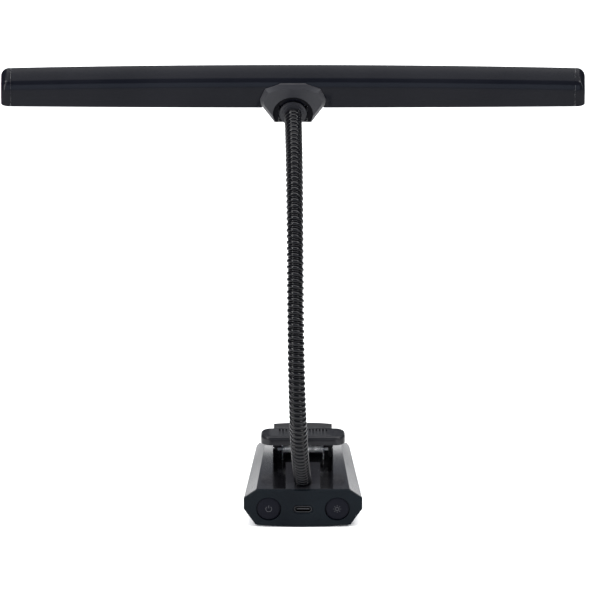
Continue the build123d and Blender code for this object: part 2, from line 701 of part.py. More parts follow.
with BuildPart() as head_housing:
    add(bar_solid.part)
    with BuildSketch(head_section(0)):
        polygon(end_outline)
        offset(amount=-bar_wall, kind=Kind.INTERSECTION, mode=Mode.REPLACE)
    extrude(amount=bar_half, both=True, mode=Mode.SUBTRACT)
    with BuildSketch(led_plane.offset(-bar_wall * 2)):
        Rectangle(bar_half * 2, window_w)
    extrude(amount=bar_wall * 3, mode=Mode.SUBTRACT)
    board_back = led_board_deep + led_board_t
    with BuildSketch(led_plane.offset(-board_back)):
        with GridLocations(head_boss_pitch, 0, head_boss_count, 1):
            Circle(head_boss_r)
    extrude(until=Until.NEXT, dir=led_dir * -1)
    with BuildSketch(led_plane.offset(-board_back)):
        with GridLocations(head_boss_pitch, 0, head_boss_count, 1):
            Circle(screw_r)
    extrude(amount=-board_screw_grip - pin_fit, mode=Mode.SUBTRACT)
    with BuildSketch(head_plane.offset(bar_face)):
        with Locations((-hub_screw_x, hub_screw_y), (hub_screw_x, hub_screw_y)):
            Circle(screw_r)
    extrude(amount=-bar_wall, mode=Mode.SUBTRACT)
save(head_housing.part, "head_housing")

for side, label in ((-1, "left_end_cap"), (1, "right_end_cap")):
    with BuildPart() as end_cap:
        with BuildSketch(head_section(side * bar_half)):
            polygon(end_outline)
        extrude(amount=side * cap_len)
        outer_face = end_cap.faces().sort_by(Axis.X)[-1 if side > 0 else 0]
        fillet(outer_face.edges(), radius=cap_round)
        with BuildSketch(head_section(side * bar_half)):
            polygon(end_outline)
            offset(amount=-bar_wall - spigot_gap, kind=Kind.INTERSECTION, mode=Mode.REPLACE)
        extrude(amount=-side * spigot_len)
    save(end_cap.part, label)

with BuildPart() as diffuser:
    with BuildSketch(led_plane.offset(-diffuser_t - diffuser_gap)):
        Rectangle(inside_len, window_w - 2 * diffuser_gap)
    extrude(amount=diffuser_t)
save(diffuser.part, "diffuser")

with BuildPart() as led_board:
    with BuildSketch(led_plane.offset(-led_board_deep - led_board_t)):
        Rectangle(inside_len - spigot_len, led_board_w)
    extrude(amount=led_board_t)
    with BuildSketch(led_plane.offset(-led_board_deep - led_board_t)):
        with GridLocations(head_boss_pitch, 0, head_boss_count, 1):
            Circle(screw_r + cover_gap)
    extrude(amount=led_board_t, mode=Mode.SUBTRACT)
save(led_board.part, "led_board")

with BuildPart() as led_chips:
    with BuildSketch(led_plane.offset(-led_board_deep)):
        with GridLocations(led_pitch, led_rows_gap, led_count, 2):
            Rectangle(led_size, led_size)
    extrude(amount=led_t)
save(led_chips.part, "led_chips")

with BuildPart() as board_screws:
    with BuildSketch(led_plane.offset(-led_board_deep)):
        with GridLocations(head_boss_pitch, 0, head_boss_count, 1):
            Circle(screw_head_r)
    extrude(amount=led_t)
    with BuildSketch(led_plane.offset(-led_board_deep)):
        with GridLocations(head_boss_pitch, 0, head_boss_count, 1):
            Circle(screw_r - pin_fit)
    extrude(amount=-led_board_t - board_screw_grip)
save(board_screws.part, "board_screws")

hub_right = [(hub_bottom_half, hub_bottom), *hub_shoulders, (hub_top_half, hub_top)]
hub_screws_at = [(-hub_screw_x, hub_screw_y), (hub_screw_x, hub_screw_y)]
with BuildPart() as hub:
    with BuildSketch(head_plane.offset(-hub_back)):
        polygon([*hub_right, *[(-x, y) for x, y in reversed(hub_right)]])
    extrude(amount=hub_back + hub_face)
    chamfer(hub.faces().sort_by(Axis(tilt_place, head_out))[-1].edges(), length=hub_chamfer)
    # room for the bar, and nothing behind it
    with BuildSketch(head_section(0)):
        polygon([(bar_bottom, bar_face), (bar_bottom, -hub_back * 2), (hub_top * 2, -hub_back * 2),
                 (hub_top * 2, bar_face - upper_run), (crease_y + upper_rise, bar_face - upper_run),
                 (crease_y, bar_face)])
    extrude(amount=hub_half, both=True, mode=Mode.SUBTRACT)
    add(bar_solid.part, mode=Mode.SUBTRACT)
    with BuildSketch(head_plane.offset(bar_face)):
        with Locations(*hub_screws_at):
            Circle(screw_r)
    extrude(amount=hub_screw_grip, mode=Mode.SUBTRACT)
    with BuildSketch(head_plane.offset(hub_face - recess_deep)):
        Circle(recess_r)
    extrude(amount=recess_deep, mode=Mode.SUBTRACT)
    # slot for the knuckle, open in front and below
    with BuildSketch(head_plane.offset(-slot_back)):
        with BuildLine():
            Polyline((-slot_half, slot_square), (-slot_half, hub_bottom * 2),
                     (slot_half, hub_bottom * 2), (slot_half, slot_square))
            ThreePointArc((slot_half, slot_square), (0, slot_top), (-slot_half, slot_square))
        make_face()
    extrude(amount=slot_back + hub_face, mode=Mode.SUBTRACT)
    with BuildSketch(head_section(0)):
        Circle(tilt_pin_r)
    extrude(amount=tilt_pin_half, both=True, mode=Mode.SUBTRACT)
save(hub.part, "hub")

with BuildPart() as tilt_pin:
    with BuildSketch(head_section(0)):
        Circle(tilt_pin_r)
    extrude(amount=tilt_pin_half, both=True)
save(tilt_pin.part, "tilt_pin")

with BuildPart() as friction_washers:
    for side in (1, -1):
        with BuildSketch(head_section(side * (barrel_half + pin_fit))):
            Circle(barrel_r)
            Circle(tilt_pin_r + pin_fit, mode=Mode.SUBTRACT)
        extrude(amount=side * (slot_half - barrel_half - 2 * pin_fit))
save(friction_washers.part, "friction_washers")

with BuildPart() as hub_screws:
    with BuildSketch(head_plane.offset(bar_face - bar_wall)):
        with Locations(*hub_screws_at):
            Circle(screw_head_r)
    extrude(amount=-hub_screw_head_t)
    with BuildSketch(head_plane.offset(bar_face - bar_wall)):
        with Locations(*hub_screws_at):
            Circle(screw_r - pin_fit)
    extrude(amount=bar_wall + hub_screw_grip)
save(hub_screws.part, "hub_screws")
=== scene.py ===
"""Rechargeable piano lamp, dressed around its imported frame.

Metres throughout. +X runs along the LED bar, +Y from the control panel to the clip, +Z is up.
"""
from math import cos, pi, radians, sin, tan

import bmesh
import bpy
from mathutils import Matrix, Vector


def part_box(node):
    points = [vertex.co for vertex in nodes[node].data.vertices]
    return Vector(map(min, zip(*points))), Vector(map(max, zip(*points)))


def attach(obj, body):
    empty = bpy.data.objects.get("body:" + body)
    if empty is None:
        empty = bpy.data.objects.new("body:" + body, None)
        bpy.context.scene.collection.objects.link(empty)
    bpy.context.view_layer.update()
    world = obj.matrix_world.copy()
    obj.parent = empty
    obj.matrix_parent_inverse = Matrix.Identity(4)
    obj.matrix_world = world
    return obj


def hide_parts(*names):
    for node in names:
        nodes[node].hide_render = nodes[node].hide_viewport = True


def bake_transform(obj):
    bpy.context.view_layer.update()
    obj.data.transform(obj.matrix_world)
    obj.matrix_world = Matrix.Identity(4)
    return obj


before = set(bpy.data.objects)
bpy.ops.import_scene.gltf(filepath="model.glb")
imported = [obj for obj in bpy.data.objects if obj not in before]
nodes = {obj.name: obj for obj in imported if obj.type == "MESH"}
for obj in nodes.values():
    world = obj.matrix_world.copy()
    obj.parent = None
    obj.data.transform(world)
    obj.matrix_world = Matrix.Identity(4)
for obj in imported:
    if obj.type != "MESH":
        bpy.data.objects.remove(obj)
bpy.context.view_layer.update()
MM = 0.001

# ---------------------------------------------------------------- sizes shared with the frame
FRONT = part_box("front_panel")[0][1]
DECK_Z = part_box("front_panel")[1][2]
NECK_ROOT = Vector((0, FRONT + 12 * MM, DECK_Z))
ROOT_LEAN, TIP_LEAN, SIDE_LEAN = radians(-43.5), radians(78.5), radians(1.6)
NECK_R = 4.45 * MM
# the neck's slight S to one side, and the share of its length where it crosses its line
NECK_SWAY, SWAY_CROSS = 2.7 * MM, 0.69
COLLAR_LEN, ROOT_LEN, TIP_LEN = 1.2 * MM, 17.8 * MM, 7.0 * MM
BEND_RADIUS = 100 * MM
LINK_COUNT = 8
LINK_LEN = BEND_RADIUS * (TIP_LEAN - ROOT_LEAN) / LINK_COUNT
NECK_BACK = Vector((0, 1, 0))
NECK_UP = Vector((-sin(SIDE_LEAN), 0, cos(SIDE_LEAN)))
NECK_SIDE = Vector((cos(SIDE_LEAN), 0, sin(SIDE_LEAN)))

COIL_PITCH = 3.13 * MM
# radii of the round wire and of the slim one between its turns
BEAD_WIRE, RIDGE_WIRE = 1.1 * MM, 0.42 * MM
RIDGE_SUNK = 0.5 * MM
CORE_SUNK = 1.15 * MM


# ================================================================ materials
NOISE_LOW, NOISE_HIGH = 0.3, 0.7     # the part of a noise's range that is used
PROUD, PROUDEST = 0.52, 0.6     # how pointed an edge is where the painted edge highlight begins and where it is full
SLOW_DRIFT = 38.0     # scale of the slow change over a surface
GRAIN_DEPTH = 0.02 * MM
EDGE_HIGHLIGHT_LIFT = 0.12     # how much lighter than twice its tone the painted edge highlight is


def new_material(name):
    """An empty material with its shader, output and object coordinates."""
    material = bpy.data.materials.new(name)
    material.use_nodes = True
    tree = material.node_tree
    shader = tree.nodes["Principled BSDF"]
    place = tree.nodes.new("ShaderNodeTexCoord")
    return material, tree, shader, place.outputs["Object"]


def noise(tree, place, scale, detail=4.0, stretch=(1, 1, 1)):
    """Noise over the object's own coordinates, stretched where the finish has a direction."""
    mapping = tree.nodes.new("ShaderNodeMapping")
    mapping.inputs["Scale"].default_value = stretch
    tree.links.new(place, mapping.inputs["Vector"])
    texture = tree.nodes.new("ShaderNodeTexNoise")
    texture.inputs["Scale"].default_value = scale
    texture.inputs["Detail"].default_value = detail
    tree.links.new(mapping.outputs["Vector"], texture.inputs["Vector"])
    return texture.outputs["Fac"]


def spread(tree, value, low, high):
    """Maps the middle of a noise onto low..high."""
    ranged = tree.nodes.new("ShaderNodeMapRange")
    ranged.inputs["From Min"].default_value = NOISE_LOW
    ranged.inputs["From Max"].default_value = NOISE_HIGH
    ranged.inputs["To Min"].default_value = low
    ranged.inputs["To Max"].default_value = high
    tree.links.new(value, ranged.inputs["Value"])
    return ranged.outputs["Result"]


def tinted(tree, value, dark, light):
    """A colour between dark and light that follows a noise."""
    ramp = tree.nodes.new("ShaderNodeValToRGB")
    ramp.color_ramp.elements[0].position = NOISE_LOW
    ramp.color_ramp.elements[1].position = NOISE_HIGH
    ramp.color_ramp.elements[0].color = (*dark, 1)
    ramp.color_ramp.elements[1].color = (*light, 1)
    tree.links.new(value, ramp.inputs["Fac"])
    return ramp.outputs["Color"]


def painted_edge_highlight(tree, colour, highlight_colour, amount):
    """Paints a highlight along the proud edges as a lighter tone."""
    geometry = tree.nodes.new("ShaderNodeNewGeometry")
    ramp = tree.nodes.new("ShaderNodeMapRange")
    ramp.inputs["From Min"].default_value = PROUD
    ramp.inputs["From Max"].default_value = PROUDEST
    ramp.inputs["To Max"].default_value = amount
    tree.links.new(geometry.outputs["Pointiness"], ramp.inputs["Value"])
    mix = tree.nodes.new("ShaderNodeMix")
    mix.data_type = "RGBA"
    tree.links.new(ramp.outputs["Result"], mix.inputs["Factor"])
    tree.links.new(colour, mix.inputs[6])
    mix.inputs[7].default_value = (*highlight_colour, 1)
    return mix.outputs[2]


def bump(tree, shader, height, strength, distance):
    """Raises the surface's shading by a noise."""
    node = tree.nodes.new("ShaderNodeBump")
    node.inputs["Strength"].default_value = strength
    node.inputs["Distance"].default_value = distance
    tree.links.new(height, node.inputs["Height"])
    tree.links.new(node.outputs["Normal"], shader.inputs["Normal"])


def finish(name, dark, light, rough, grain, grain_bump, stretch=(1, 1, 1), edge_highlight=0.0, **constants):
    """A procedural finish: tone and gloss drift slowly, and a fine grain stands on the surface.

    rough is (lowest, highest) roughness, grain the fine noise's scale, the edge amount how much lighter
    its edges are painted as a highlight, and constants go on the shader's sockets.
    """
    material, tree, shader, place = new_material(name)
    slow = noise(tree, place, SLOW_DRIFT)
    fine = noise(tree, place, grain, detail=2.0, stretch=stretch)
    colour = tinted(tree, slow, dark, light)
    # painted highlight: the proud edges are painted lighter, standing in for the light they catch
    if edge_highlight:
        colour = painted_edge_highlight(tree, colour, [EDGE_HIGHLIGHT_LIFT + channel * 2 for channel in light], edge_highlight)
    tree.links.new(colour, shader.inputs["Base Color"])
    tree.links.new(spread(tree, fine, *rough), shader.inputs["Roughness"])
    bump(tree, shader, fine, grain_bump, GRAIN_DEPTH)
    for socket, value in constants.items():
        shader.inputs[socket.replace("_", " ")].default_value = value
    return material


def housing_plastic():
    # its proud edges get a painted highlight
    return finish("housing_plastic", dark=(0.006, 0.006, 0.0075), light=(0.009, 0.009, 0.011),
                  rough=(0.13, 0.19), grain=2600.0, grain_bump=0.12, edge_highlight=0.1, Specular_IOR_Level=0.24)


def panel_lacquer():
    return finish("panel_lacquer", dark=(0.0025, 0.0035, 0.005), light=(0.004, 0.006, 0.008),
                  rough=(0.14, 0.2), grain=900.0, grain_bump=0.06, Specular_IOR_Level=0.045)


def button_plastic():
    return finish("button_plastic", dark=(0.003, 0.0032, 0.0055), light=(0.0045, 0.0048, 0.0075),
                  rough=(0.34, 0.42), grain=3000.0, grain_bump=0.3, Specular_IOR_Level=0.04)


def lever_plastic():
    # its proud edges get a painted highlight
    return finish("lever_plastic", dark=(0.006, 0.006, 0.0075), light=(0.01, 0.01, 0.0115),
                  rough=(0.2, 0.28), grain=2400.0, grain_bump=0.25, edge_highlight=0.1, Specular_IOR_Level=0.11)


# painted shade: a darker, duller black for faces that lie in shade
def painted_shade_black():
    return finish("painted_shade_black", dark=(0.002, 0.002, 0.0028), light=(0.0035, 0.0035, 0.0045),
                  rough=(0.5, 0.62), grain=2400.0, grain_bump=0.4, Specular_IOR_Level=0.03)


def icon_print():
    return finish("icon_print", dark=(0.006, 0.006, 0.009), light=(0.009, 0.009, 0.013),
                  rough=(0.45, 0.6), grain=3000.0, grain_bump=0.2)


def coil_lacquer():
    return finish("coil_lacquer", dark=(0.0012, 0.0012, 0.0018), light=(0.0022, 0.0022, 0.003),
                  rough=(0.1, 0.15), grain=1500.0, grain_bump=0.05, Specular_IOR_Level=0.15)


def bar_coating():
    return finish("bar_coating", dark=(0.0025, 0.0028, 0.0045), light=(0.0038, 0.0041, 0.006),
                  rough=(0.15, 0.2), grain=3200.0, grain_bump=0.08,
                  stretch=(0.25, 1, 1), Specular_IOR_Level=0.075)


def hub_coating():
    return finish("hub_coating", dark=(0.009, 0.0092, 0.0115), light=(0.013, 0.0132, 0.016),
                  rough=(0.3, 0.38), grain=3200.0, grain_bump=0.2, Specular_IOR_Level=0.22)


def bright_steel():
    return finish("bright_steel", dark=(0.62, 0.62, 0.63), light=(0.78, 0.78, 0.79),
                  rough=(0.4, 0.52), grain=1800.0, grain_bump=0.2, stretch=(0.1, 1, 1), Metallic=0.55)


# painted shade: the socket's steel shell is darkened for the shade in its recess
def shade_darkened_steel():
    return finish("shade_darkened_steel", dark=(0.022, 0.022, 0.024), light=(0.035, 0.035, 0.038),
                  rough=(0.25, 0.35), grain=1800.0, grain_bump=0.2, Metallic=1.0)


def pad_rubber():
    return finish("pad_rubber", dark=(0.012, 0.012, 0.012), light=(0.02, 0.02, 0.02),
                  rough=(0.7, 0.85), grain=1400.0, grain_bump=0.8)


def frosted_white():
    return finish("frosted_white", dark=(0.82, 0.83, 0.82), light=(0.88, 0.89, 0.88),
                  rough=(0.42, 0.5), grain=2500.0, grain_bump=0.25, Subsurface_Weight=0.35)


def circuit_board():
    return finish("circuit_board", dark=(0.008, 0.05, 0.028), light=(0.014, 0.075, 0.04),
                  rough=(0.3, 0.4), grain=1200.0, grain_bump=0.2)


def cell_foil():
    return finish("cell_foil", dark=(0.42, 0.43, 0.45), light=(0.55, 0.56, 0.58),
                  rough=(0.28, 0.42), grain=500.0, grain_bump=0.6, Metallic=1.0)


def switch_plastic():
    return finish("switch_plastic", dark=(0.02, 0.02, 0.02), light=(0.035, 0.035, 0.035),
                  rough=(0.5, 0.6), grain=2200.0, grain_bump=0.4)


def led_package():
    return finish("led_package", dark=(0.85, 0.72, 0.3), light=(0.92, 0.8, 0.38),
                  rough=(0.3, 0.4), grain=1500.0, grain_bump=0.2)


def floor_paint():
    return finish("floor_paint", dark=(0.86, 0.86, 0.86), light=(0.88, 0.88, 0.88),
                  rough=(0.6, 0.7), grain=60.0, grain_bump=0.0)


HOUSING, PANEL, BUTTON, LEVER = housing_plastic(), panel_lacquer(), button_plastic(), lever_plastic()
ICON, COIL, BAR, STEEL = icon_print(), coil_lacquer(), bar_coating(), bright_steel()
RUBBER, FROST, BOARD, FOIL = pad_rubber(), frosted_white(), circuit_board(), cell_foil()
SWITCH, LED, INLET, HUB = switch_plastic(), led_package(), shade_darkened_steel(), hub_coating()
PAINTED_SHADE = painted_shade_black()


# ================================================================ making pieces
MERGE, CAD_MERGE = 0.0001 * MM, 0.001 * MM     # points nearer than this are one
FLAT, CREASED = radians(0.5), radians(32)     # folds flatter than FLAT go, folds past CREASED are sharp


def add_piece(name, mesh, material=None):
    """A piece at the origin, with its place in its mesh."""
    piece = bpy.data.objects.new(name, mesh)
    bpy.context.scene.collection.objects.link(piece)
    if material:
        mesh.materials.clear()
        mesh.materials.append(material)
    return piece


def settle(bm, mesh, closed=True):
    """Writes a built shape to its mesh with its faces outwards and smooth."""
    bmesh.ops.remove_doubles(bm, verts=bm.verts, dist=MERGE)
    if closed:
        bmesh.ops.holes_fill(bm, edges=[edge for edge in bm.edges if edge.is_boundary])
    bmesh.ops.recalc_face_normals(bm, faces=bm.faces)
    for face in bm.faces:
        face.smooth = True
    bm.to_mesh(mesh)
    bm.free()
    mesh.update()


def soften(node, body, edge, material, segments=3, fold=28, reshape=None, shade_mask=None):
    """Stands for a CAD node with a merged copy whose edges are rounded by edge.

    reshape moves one point, and the face mask says which faces get the darker, duller painted shade.
    """
    mesh = bpy.data.meshes.new(f"{node}_soft")
    bm = bmesh.new()
    bm.from_mesh(nodes[node].data)
    bmesh.ops.remove_doubles(bm, verts=bm.verts, dist=CAD_MERGE)
    bmesh.ops.dissolve_limit(bm, angle_limit=FLAT, verts=bm.verts, edges=bm.edges)
    if reshape:
        for vertex in bm.verts:
            reshape(vertex.co)
    for face in bm.faces:
        face.smooth = True
        # faces the mask picks get the painted shade material
        if shade_mask and shade_mask(face.calc_center_median(), face.normal):
            face.material_index = 1
    mesh.materials.append(material)
    if shade_mask:
        mesh.materials.append(PAINTED_SHADE)
    bm.to_mesh(mesh)
    bm.free()
    piece = add_piece(f"{node}_soft", mesh)
    bevel = piece.modifiers.new("rounding", "BEVEL")
    bevel.width = edge
    bevel.segments = segments
    bevel.limit_method = "ANGLE"
    bevel.angle_limit = radians(fold)
    bevel.use_clamp_overlap = True
    bevel.miter_outer = "MITER_ARC"
    even = piece.modifiers.new("even_normals", "WEIGHTED_NORMAL")
    even.keep_sharp = True
    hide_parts(node)
    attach(piece, body)
    return piece


class NodeGroup:
    """Builds one Geometry Nodes tree with named inputs."""

    def __init__(self, name, **inputs):
        self.tree = bpy.data.node_groups.new(name, "GeometryNodeTree")
        self.tree.is_modifier = True
        self.tree.interface.new_socket("Geometry", in_out="INPUT", socket_type="NodeSocketGeometry")
        self.tree.interface.new_socket("Geometry", in_out="OUTPUT", socket_type="NodeSocketGeometry")
        self.sockets = {}
        for label, value in inputs.items():
            kind = "NodeSocketInt" if isinstance(value, int) else "NodeSocketFloat"
            socket = self.tree.interface.new_socket(label, in_out="INPUT", socket_type=kind)
            self.sockets[label] = (socket.identifier, value)
        self.inlet = self.tree.nodes.new("NodeGroupInput")

    def given(self, label):
        return self.inlet.outputs[label]

    def node(self, kind, **settings):
        made = self.tree.nodes.new(kind)
        for key, value in settings.items():
            setattr(made, key, value)
        return made

    def join(self, source, target):
        if isinstance(source, bpy.types.NodeSocket):
            self.tree.links.new(source, target)
        else:
            target.default_value = source

    def math(self, operation, *values):
        made = self.node("ShaderNodeMath", operation=operation)
        for value, socket in zip(values, made.inputs):
            self.join(value, socket)
        return made.outputs["Value"]

    def vector(self, x, y, z):
        made = self.node("ShaderNodeCombineXYZ")
        for value, socket in zip((x, y, z), made.inputs):
            self.join(value, socket)
        return made.outputs["Vector"]

    def run(self, name, geometry, material, **changes):
        """Ends the tree, runs it and returns a plain mesh."""
        realize = self.node("GeometryNodeRealizeInstances")
        paint = self.node("GeometryNodeSetMaterial")
        outlet = self.node("NodeGroupOutput")
        self.join(geometry, realize.inputs["Geometry"])
        self.join(realize.outputs["Geometry"], paint.inputs["Geometry"])
        paint.inputs["Material"].default_value = material
        self.join(paint.outputs["Geometry"], outlet.inputs["Geometry"])
        return self.make(name, **changes)

    def make(self, name, **changes):
        """Runs the finished tree with some inputs changed."""
        holder = add_piece(name, bpy.data.meshes.new(name))
        modifier = holder.modifiers.new("maker", "NODES")
        modifier.node_group = self.tree
        for label, (identifier, value) in self.sockets.items():
            modifier[identifier] = changes.get(label, value)
        evaluated = holder.evaluated_get(bpy.context.evaluated_depsgraph_get())
        mesh = bpy.data.meshes.new_from_object(evaluated)
        bpy.data.objects.remove(holder)
        return mesh


# ================================================================ gooseneck coil
STRAIGHT_LEN = COLLAR_LEN + ROOT_LEN
TURN = TIP_LEAN - ROOT_LEAN
NECK_LEN = STRAIGHT_LEN + BEND_RADIUS * TURN + TIP_LEN
# a reach on each side of a joint, whose end points are found but not used, and how deep the coil sits in the
# knuckle
JOINT_REACH, TIP_LAP = 9 * MM, 0.2 * MM
STEPS_PER_PITCH, WIRE_SIDES, CORE_RINGS = 24, 12, 24


def neck_point(along):
    """A point on the neck's line, measured along it from the deck."""
    straight = min(along, STRAIGHT_LEN)
    turned = min(max((along - STRAIGHT_LEN) / BEND_RADIUS, 0), TURN)
    lean = ROOT_LEAN + turned
    past = max(along - STRAIGHT_LEN - BEND_RADIUS * TURN, 0)
    back = sin(ROOT_LEAN) * straight + BEND_RADIUS * (cos(ROOT_LEAN) - cos(lean)) + sin(TIP_LEAN) * past
    up = cos(ROOT_LEAN) * straight + BEND_RADIUS * (sin(lean) - sin(ROOT_LEAN)) + cos(TIP_LEAN) * past
    return NECK_ROOT + NECK_BACK * back + NECK_UP * up


def coil_tree():
    """Two wires wound side by side over a core tube, bent to the neck's line."""
    group = NodeGroup("gooseneck_coil", From=0.0, To=30 * MM, Radius=NECK_R, Pitch=COIL_PITCH,
                      Bead=BEAD_WIRE, Ridge=RIDGE_WIRE, RidgeSunk=RIDGE_SUNK, CoreSunk=CORE_SUNK,
                      Straight=STRAIGHT_LEN, BendRadius=BEND_RADIUS, RootLean=ROOT_LEAN, Turn=TURN,
                      Length=NECK_LEN, Sway=NECK_SWAY, SwayCross=SWAY_CROSS, Steps=240, Around=32)
    given, math = group.given, group.math
    arc_len = math("MULTIPLY", given("Turn"), given("BendRadius"))
    tip_lean = math("ADD", given("RootLean"), given("Turn"))
    root_sin, root_cos = math("SINE", given("RootLean")), math("COSINE", given("RootLean"))

    def bent(geometry, along, around, radius):
        """Lays points of a straight neck on the bent one, which is straight, an arc, straight."""
        towards_bend = math("MULTIPLY", radius, math("COSINE", around))
        beyond = math("SUBTRACT", along, given("Straight"))
        on_arc = math("MINIMUM", math("MAXIMUM", beyond, 0.0), arc_len)
        before = math("MINIMUM", along, given("Straight"))
        past = math("MAXIMUM", math("SUBTRACT", beyond, arc_len), 0.0)
        lean = math("ADD", given("RootLean"), math("DIVIDE", on_arc, given("BendRadius")))
        lean_sin, lean_cos = math("SINE", lean), math("COSINE", lean)

        def on_line(root_part, tip_part, arc_part, square_part):
            """One coordinate of the bent neck, from its parts along each stretch and square to it."""
            line = math("ADD", math("MULTIPLY", before, root_part), math("MULTIPLY", past, tip_part))
            return math("ADD", math("ADD", line, math("MULTIPLY", given("BendRadius"), arc_part)),
                        math("MULTIPLY", towards_bend, square_part))

        back = on_line(root_sin, math("SINE", tip_lean), math("SUBTRACT", root_cos, lean_cos), lean_cos)
        up = on_line(root_cos, math("COSINE", tip_lean), math("SUBTRACT", lean_sin, root_sin),
                     math("MULTIPLY", lean_sin, -1.0))
        share = math("DIVIDE", along, given("Length"))
        swing = math("MULTIPLY", math("SINE", math("MULTIPLY", share, pi)),
                     math("SUBTRACT", math("DIVIDE", share, given("SwayCross")), 1.0))
        sideways = math("ADD", math("MULTIPLY", radius, math("SINE", around)),
                        math("MULTIPLY", given("Sway"), swing))
        moved = group.node("GeometryNodeSetPosition")
        group.join(geometry, moved.inputs["Geometry"])
        group.join(group.vector(back, up, sideways), moved.inputs["Position"])
        return moved.outputs["Geometry"]

    place = group.node("GeometryNodeInputPosition")
    split = group.node("ShaderNodeSeparateXYZ")
    group.join(place.outputs["Position"], split.inputs["Vector"])
    parts = []
    # the two wires, half a pitch apart
    wires = ((given("Bead"), 0.0, 0.0), (given("Ridge"), given("RidgeSunk"), pi))
    for wire_radius, sunk, start in wires:
        line = group.node("GeometryNodeCurvePrimitiveLine", mode="POINTS")
        group.join(group.vector(given("From"), 0.0, 0.0), line.inputs["Start"])
        group.join(group.vector(given("To"), 0.0, 0.0), line.inputs["End"])
        spaced = group.node("GeometryNodeResampleCurve", mode="COUNT")
        group.join(line.outputs["Curve"], spaced.inputs["Curve"])
        group.join(given("Steps"), spaced.inputs["Count"])
        turns = math("DIVIDE", split.outputs["X"], given("Pitch"))
        around = math("ADD", math("MULTIPLY", turns, 2 * pi), start)
        radius = math("SUBTRACT", math("SUBTRACT", given("Radius"), wire_radius), sunk)
        ring = group.node("GeometryNodeCurvePrimitiveCircle")
        ring.inputs["Resolution"].default_value = WIRE_SIDES
        group.join(wire_radius, ring.inputs["Radius"])
        sweep = group.node("GeometryNodeCurveToMesh")
        group.join(bent(spaced.outputs["Curve"], split.outputs["X"], around, radius), sweep.inputs["Curve"])
        group.join(ring.outputs["Curve"], sweep.inputs["Profile Curve"])
        sweep.inputs["Fill Caps"].default_value = True
        parts.append(sweep.outputs["Mesh"])
    # the core tube under them
    grid = group.node("GeometryNodeMeshGrid")
    group.join(math("SUBTRACT", given("To"), given("From")), grid.inputs["Size X"])
    grid.inputs["Size Y"].default_value = 2 * pi
    grid.inputs["Vertices X"].default_value = CORE_RINGS
    group.join(given("Around"), grid.inputs["Vertices Y"])
    middle = math("MULTIPLY", math("ADD", given("To"), given("From")), 0.5)
    core_along = math("ADD", split.outputs["X"], middle)
    core_radius = math("SUBTRACT", given("Radius"), given("CoreSunk"))
    parts.append(bent(grid.outputs["Mesh"], core_along, split.outputs["Y"], core_radius))
    together = group.node("GeometryNodeJoinGeometry")
    for part in parts:
        group.join(part, together.inputs["Geometry"])
    return group, together.outputs["Geometry"]


def gooseneck():
    """The coil in stretches, each laid along the neck's bent line around one of its joints."""
    group, geometry = coil_tree()
    placed = Matrix((NECK_BACK, NECK_UP, NECK_SIDE)).transposed().to_4x4()
    placed.translation = NECK_ROOT
    stands_for = [["neck_root"]] + [[f"neck_link_{k}"] for k in range(1, LINK_COUNT + 1)]
    stands_for[-1].append("neck_tip")
    for k in range(LINK_COUNT + 1):
        joint = STRAIGHT_LEN + k * LINK_LEN
        start = COLLAR_LEN if k == 0 else joint - LINK_LEN / 2
        end = joint + TIP_LEN + TIP_LAP if k == LINK_COUNT else joint + LINK_LEN / 2
        sizes = {"From": start, "To": end, "Steps": int((end - start) / COIL_PITCH * STEPS_PER_PITCH)}
        name = f"gooseneck_coil_{k + 1}"
        mesh = group.run(name, geometry, COIL, **sizes) if k == 0 else group.make(name, **sizes)
        bm = bmesh.new()
        bm.from_mesh(mesh)
        settle(bm, mesh)
        mesh.transform(placed)
        piece = add_piece(name, mesh, COIL)
        after = min(JOINT_REACH, end - joint)
        neck_point(joint - JOINT_REACH)
        neck_point(joint + after)
        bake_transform(piece)
        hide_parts(*stands_for[k])


gooseneck()


# ================================================================ LED bar
TIP = neck_point(NECK_LEN)
KNUCKLE_LEN = 5.5 * MM
TILT_PLACE = TIP + (NECK_BACK * sin(TIP_LEAN) + NECK_UP * cos(TIP_LEAN)) * KNUCKLE_LEN
HEAD_UP = Vector((0, -cos(TIP_LEAN), sin(TIP_LEAN)))
HEAD_OUT = Vector((0, -sin(TIP_LEAN), -cos(TIP_LEAN)))
BAR_HALF = (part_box("head_housing")[1][0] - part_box("head_housing")[0][0]) / 2
CAP_LEN = 5 * MM
BAR_FACE, BAR_BOTTOM, BOTTOM_RISE = 2.8 * MM, 3.6 * MM, 0.7 * MM
CREASE_Y, CREASE_DROP = 16.6 * MM, 1.7 * MM
UPPER_RISE, UPPER_RUN, LIP_RISE = 6.25 * MM, 8.93 * MM, 3.5 * MM
LED_TILT, LED_LOW_Z, BAR_HEEL = radians(28), -0.9 * MM, 0.1 * MM
WINDOW_W, WINDOW_DEEP = 13.6 * MM, 2.4 * MM
WINDOW_ROUND = 0.25 * MM
HUB_COVER, SKIRT = 15.4 * MM, 1.3 * MM     # the bottom edge hangs lower outside the hub
# the upper face's crown: how proud it stands, where along the face, and the way the face looks (up, out)
UPPER_CROWN, CROWN_SHARE = 0.3 * MM, 0.56
FACE_UP, FACE_OUT = 0.82, 0.57
# the crease: how far its softening reaches, and the share of that up and back on the upper face
CREASE_SOFT, SOFT_UP, SOFT_BACK = 2.2 * MM, 0.8, 0.72
# arcs at the bottom, the two ends of the crease, the crown, the top and the lip, then at the heel
SECTION_ROUND = [0.9 * MM, 4.6 * MM, 4.6 * MM, 9.0 * MM, 1.0 * MM, 0.5 * MM]
HEEL_ROUND, ARC_STEPS = 0.3 * MM, 8


def in_head(x, up, out):
    """A point of the head, measured along the bar, up its face and out of it."""
    return TILT_PLACE + Vector((x, 0, 0)) + HEAD_UP * up + HEAD_OUT * out


